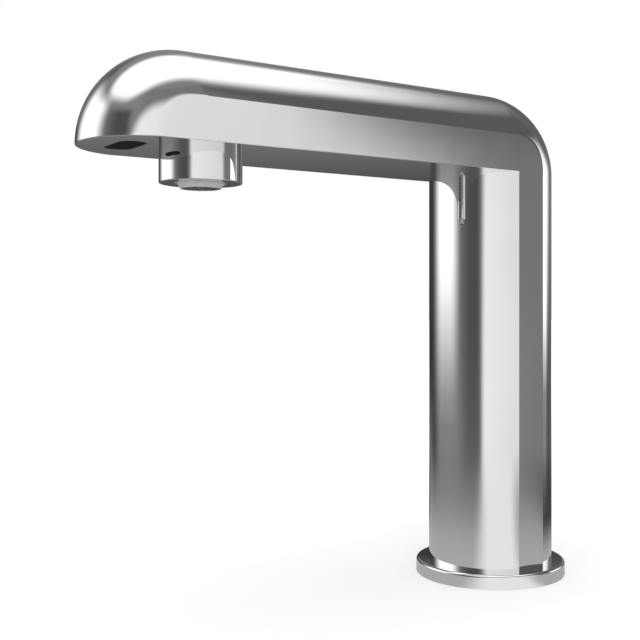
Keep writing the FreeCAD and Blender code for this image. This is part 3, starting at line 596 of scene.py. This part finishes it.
# ---- Studio tent: what polished surfaces see. Angles in degrees. ----
TENT_RADIUS, TENT_STEP, TENT_CENTRE = 3.2, 2, (-0.03, 0.05, 0.12)
TENT_HIGHEST = 89         # the pole takes the levels round it
BASE_LEVEL = 0.258
# Azimuth from and to, its two soft edges; elevation from and to, its two soft edges; brightness.
BACKGROUND_PANELS = (
    (-96, -60, 40, 12, -15, 33, 33, 9, 0.084),
    (-47, 73, 22, 7, -35, 54, 36, 6, 0.21),
)
PANELS = (
    (32, 97, 12, 40, 10, 56, 3, 3, 0.114),
    (-174, -108, 13, 26, -2, 36, 13, 14, 1.45),
    (61, 97, 3, 14, -3, 19, 8, 20, 1.45),
    (88, 142, 16, 39, 12, 42, 15, 11, 0.132),
    (88, 119, 10, 22, -28, 4, 11, 24, 0.10),
    (133, 188, 5, 12, -8, 13, 8, 3, 0.035),
    (-183, -157, 38, 32, -18, 43, 6, 9, 0.058),
    (34, 55, 22, 14, 53, 65, 10, 4, 0.38),
    (121, 141, 19, 40, 49, 58, 14, 8, 1.25),
)
# Large front light: middle, half size, roundness, soft edge, brightness and its fall per degree.
FRONT_AZIMUTH, FRONT_ELEVATION = -8.7, -27.4
FRONT_HALF_WIDTH, FRONT_HALF_HEIGHT = 47.2, 64.6
FRONT_POWER, FRONT_INSIDE, FRONT_OUTSIDE = 3.0, 0.886, 1.114
FRONT_LEVEL, FRONT_FALL = 0.907, 0.002
# Top light on a ceiling one unit up, seen above the lowest elevation.
TOP_LOWEST = 25
TOP_X, TOP_Y, TOP_HALF_X, TOP_HALF_Y = -0.07, -0.20, 0.42, 0.73
TOP_POWER, TOP_INSIDE, TOP_OUTSIDE = 3.3, 0.78, 1.56
TOP_LEVEL = 1.55


def smooth(low, high, value):
    """Smooth step from 0 at low to 1 at high; low may lie above high."""
    t = min(max((value - low) / (high - low), 0.0), 1.0)
    return t * t * (3 - 2 * t)


def between(low, high, soft_low, soft_high, value):
    """1 inside a range, falling to 0 over a soft edge on each side."""
    return (smooth(low - soft_low / 2, low + soft_low / 2, value)
            * smooth(high + soft_high / 2, high - soft_high / 2, value))


def oval_mask(x, y, power, inside, outside):
    """1 inside a rounded rectangle of half sizes 1, falling to 0 outside."""
    return smooth(outside, inside, (abs(x) ** power + abs(y) ** power) ** (1 / power))


def turn_from(middle, azimuth):
    """Degrees from one azimuth to another, the short way round."""
    return (azimuth - middle + 180) % 360 - 180


def with_panels(level, panels, azimuth, elevation):
    """Brightness once each panel covers what is behind it."""
    for a0, a1, soft_a0, soft_a1, e0, e1, soft_e0, soft_e1, panel in panels:
        half = (a1 - a0) / 2
        turned = turn_from((a0 + a1) / 2, azimuth)
        mask = (between(-half, half, soft_a0, soft_a1, turned)
                * between(e0, e1, soft_e0, soft_e1, elevation))
        level += (panel - level) * mask
    return level


def tent_level(azimuth, elevation):
    """Brightness of the tent in one direction."""
    level = with_panels(BASE_LEVEL, BACKGROUND_PANELS, azimuth, elevation)
    turned = turn_from(FRONT_AZIMUTH, azimuth)
    mask = oval_mask(turned / FRONT_HALF_WIDTH, (elevation - FRONT_ELEVATION) / FRONT_HALF_HEIGHT,
                     FRONT_POWER, FRONT_INSIDE, FRONT_OUTSIDE)
    level += (FRONT_LEVEL - FRONT_FALL * turned - level) * mask
    level = with_panels(level, PANELS, azimuth, elevation)
    if elevation > TOP_LOWEST:
        spread = 1 / math.tan(math.radians(elevation))
        mask = oval_mask((spread * math.cos(math.radians(azimuth)) - TOP_X) / TOP_HALF_X,
                         (spread * math.sin(math.radians(azimuth)) - TOP_Y) / TOP_HALF_Y,
                         TOP_POWER, TOP_INSIDE, TOP_OUTSIDE)
        level += (TOP_LEVEL - level) * mask
    return level


def studio_tent():
    """Sphere round the set whose panels only polished surfaces see."""
    bm = bmesh.new()
    layer = bm.loops.layers.float_color.new("level")
    rows = []
    for elevation in range(-90, 91, TENT_STEP):
        e = math.radians(elevation)
        out, up = TENT_RADIUS * math.cos(e), TENT_RADIUS * math.sin(e)
        row = []
        for azimuth in range(-180, 181, TENT_STEP):
            a = math.radians(azimuth)
            vert = bm.verts.new((out * math.cos(a), out * math.sin(a), up))
            row.append((vert, tent_level(azimuth, min(elevation, TENT_HIGHEST))))
        rows.append(row)
    for low, high in zip(rows, rows[1:]):
        for i in range(len(low) - 1):
            corners = (low[i], high[i], high[i + 1], low[i + 1])
            face = bm.faces.new([vert for vert, _ in corners])
            for loop, (_, level) in zip(face.loops, corners):
                loop[layer] = (level, level, level, 1)
    mesh = bpy.data.meshes.new("tent")
    bm.to_mesh(mesh)
    bm.free()
    tent = bpy.data.objects.new("tent", mesh)
    tent.location = TENT_CENTRE
    collection.objects.link(tent)
    tent.visible_camera = False
    tent.visible_diffuse = False
    tent.visible_shadow = False
    tent.visible_transmission = False
    tent.visible_volume_scatter = False
    material = bpy.data.materials.new("tent_cloth")
    material.use_nodes = True
    nodes, links = material.node_tree.nodes, material.node_tree.links
    nodes.remove(nodes["Principled BSDF"])
    glow = nodes.new("ShaderNodeEmission")
    level = nodes.new("ShaderNodeAttribute")
    level.attribute_name = "level"
    links.new(level.outputs["Color"], glow.inputs["Color"])
    links.new(glow.outputs["Emission"], nodes["Material Output"].inputs["Surface"])
    mesh.materials.append(material)


studio_tent()

# ---- Floor: metres from the column's axis, degrees round it ----
FLOOR_HALF = 4
FLOOR_GRAINS = 3.0
FLOOR_GREYS = (0.84, 0.86)
FLOOR_ROUGHNESS = 0.9
# For the camera: distance from and to, added white at both.
WHITEN = (0.10, 0.9, 0.30, 1.0)
# For polished surfaces: distance from and to, level at both; sectors from, to and soft edges.
NEAR_GLOW = (0.04, 0.20, 0.112, 0.0)
FAR_GLOW = (0.04, 0.32, 0.348, 0.202)
BACK_SECTOR = (41, 172, 8, 8)
BACK_SHADE = (0.04, 0.12, 0.0, 0.85)
FRONT_SECTOR = (-56, 1, 28, 21)
FRONT_GLOW = 0.918
# Distance over which the glow gives way to the tent.
PATCH_FADE = (0.05, 0.403, 0.0, 1.0)


def maths(tree, operation, first, second):
    """Result of a maths node on two values or sockets."""
    node = tree.nodes.new("ShaderNodeMath")
    node.operation = operation
    for socket, value in zip(node.inputs, (first, second)):
        if isinstance(value, (int, float)):
            socket.default_value = value
        else:
            tree.links.new(value, socket)
    return node.outputs[0]


def mapped(tree, value, low, high, to_low, to_high, shape="SMOOTHSTEP"):
    """Value mapped from one range to another."""
    node = tree.nodes.new("ShaderNodeMapRange")
    node.interpolation_type = shape
    for name, number in (("From Min", low), ("From Max", high),
                         ("To Min", to_low), ("To Max", to_high)):
        node.inputs[name].default_value = number
    tree.links.new(value, node.inputs["Value"])
    return node.outputs["Result"]


def sector(tree, azimuth, first, last, soft_first, soft_last):
    """1 inside a sector, falling to 0 over its soft edges."""
    edges = [math.radians(a) for a in (first - soft_first / 2, first + soft_first / 2,
                                       last + soft_last / 2, last - soft_last / 2)]
    return maths(tree, "MULTIPLY", mapped(tree, azimuth, edges[0], edges[1], 0.0, 1.0),
                 mapped(tree, azimuth, edges[2], edges[3], 0.0, 1.0))


def patch_level(tree, place, away):
    """Brightness of the floor round the tap as polished surfaces see it."""
    axes = tree.nodes.new("ShaderNodeSeparateXYZ")
    tree.links.new(place, axes.inputs[0])
    azimuth = maths(tree, "ARCTAN2", axes.outputs["Y"], axes.outputs["X"])
    side = maths(tree, "ADD", mapped(tree, away, *NEAR_GLOW),
                 mapped(tree, away, *FAR_GLOW, "LINEAR"))
    back = maths(tree, "MULTIPLY", sector(tree, azimuth, *BACK_SECTOR),
                 mapped(tree, away, *BACK_SHADE))
    side = maths(tree, "MULTIPLY", side, maths(tree, "SUBTRACT", 1.0, back))
    front = sector(tree, azimuth, *FRONT_SECTOR)
    side = maths(tree, "MULTIPLY", side, maths(tree, "SUBTRACT", 1.0, front))
    return maths(tree, "ADD", side, maths(tree, "MULTIPLY", front, FRONT_GLOW))


def mix(tree, share, first, second):
    """Shader that goes from the first to the second as share goes from 0 to 1."""
    node = tree.nodes.new("ShaderNodeMixShader")
    for socket, value in zip(node.inputs, (share, first, second)):
        tree.links.new(value, socket)
    return node.outputs["Shader"]


def white_floor():
    """Pale table: white to the camera with the tap's shadow, a lit patch to polished surfaces."""
    mesh = bpy.data.meshes.new("floor")
    corners = [(x * FLOOR_HALF, y * FLOOR_HALF, 0) for x, y in ((-1, -1), (1, -1), (1, 1), (-1, 1))]
    mesh.from_pydata(corners, [], [(0, 1, 2, 3)])
    obj = bpy.data.objects.new("floor", mesh)
    collection.objects.link(obj)
    material, tree, shader, place = node_material("floor_white")
    cloud = noise(tree, place, FLOOR_GRAINS)
    tree.links.new(ramp(tree, cloud, FINE_STOPS, [grey(value) for value in FLOOR_GREYS]),
                   shader.inputs["Base Color"])
    shader.inputs["Roughness"].default_value = FLOOR_ROUGHNESS
    shader.inputs["Specular IOR Level"].default_value = 0.0
    distance = tree.nodes.new("ShaderNodeVectorMath")
    distance.operation = "LENGTH"
    tree.links.new(place, distance.inputs[0])
    away = distance.outputs["Value"]
    rays = tree.nodes.new("ShaderNodeLightPath")

    # The camera sees lit cloth that whitens with distance, so no horizon shows.
    lift = tree.nodes.new("ShaderNodeEmission")
    whiten = maths(tree, "MULTIPLY", rays.outputs["Is Camera Ray"], mapped(tree, away, *WHITEN))
    tree.links.new(whiten, lift.inputs["Strength"])
    lit = tree.nodes.new("ShaderNodeAddShader")
    tree.links.new(shader.outputs["BSDF"], lit.inputs[0])
    tree.links.new(lift.outputs["Emission"], lit.inputs[1])

    # Polished surfaces see a glowing patch that gives way to the tent.
    patch = tree.nodes.new("ShaderNodeEmission")
    tree.links.new(patch_level(tree, place, away), patch.inputs["Strength"])
    gone = tree.nodes.new("ShaderNodeBsdfTransparent")
    fade = mapped(tree, away, *PATCH_FADE)
    mirrored = mix(tree, fade, patch.outputs["Emission"], gone.outputs["BSDF"])
    seen = mix(tree, rays.outputs["Is Glossy Ray"], lit.outputs["Shader"], mirrored)
    tree.links.new(seen, tree.nodes["Material Output"].inputs["Surface"])
    mesh.materials.append(material)


white_floor()

# ---- Lamps and world ----
# Name, place, aim, size in metres and power in watts.
LAMPS = (
    ("top_box", (0.1, -0.2, 1.5), (0, -0.05, 0.05), (1.2, 1.6), 9.0),
    ("front_box", (1.2, -0.8, 0.6), (0, -0.05, 0.1), (1.0, 0.8), 5.0),
)
WORLD_LIGHT, WORLD_WHITE = 0.55, 1.0

for name, place, aim, size, power in LAMPS:
    data = bpy.data.lights.new(name, "AREA")
    data.shape = "RECTANGLE"
    data.size, data.size_y = size
    data.energy = power
    lamp = bpy.data.objects.new(name, data)
    lamp.location = place
    lamp.rotation_euler = (Vector(aim) - Vector(place)).to_track_quat("-Z", "Y").to_euler()
    lamp.visible_glossy = False
    lamp.visible_camera = False
    collection.objects.link(lamp)

world = bpy.data.worlds.new("studio")
bpy.context.scene.world = world
world.use_nodes = True
sky = world.node_tree
background = sky.nodes["Background"]
background.inputs["Color"].default_value = (1, 1, 1, 1)
rays = sky.nodes.new("ShaderNodeLightPath")
seen = maths(sky, "MAXIMUM", rays.outputs["Is Camera Ray"], rays.outputs["Is Glossy Ray"])
seen = maths(sky, "MAXIMUM", seen, rays.outputs["Is Transmission Ray"])
sky.links.new(mapped(sky, seen, 0.0, 1.0, WORLD_LIGHT, WORLD_WHITE, "LINEAR"),
              background.inputs["Strength"])

# ---- Camera and view ----
CAMERA_PLACE = (0.28712, -0.25671, 0.09939)
CAMERA_AZIMUTH = math.radians(55.85)
CAMERA_LENS, CAMERA_SENSOR, CAMERA_NEAREST = 57.80, 36.0, 0.01
CAMERA_SHIFT = (-0.04975, -0.02755)

camera_data = bpy.data.cameras.new("camera")
camera_data.lens = CAMERA_LENS
camera_data.sensor_width = CAMERA_SENSOR
camera_data.shift_x, camera_data.shift_y = CAMERA_SHIFT
camera_data.clip_start = CAMERA_NEAREST
camera = bpy.data.objects.new("camera", camera_data)
camera.location = CAMERA_PLACE
camera.rotation_euler = (math.pi / 2, 0, CAMERA_AZIMUTH)
collection.objects.link(camera)
bpy.context.scene.camera = camera
bpy.context.scene.view_settings.view_transform = "Standard"
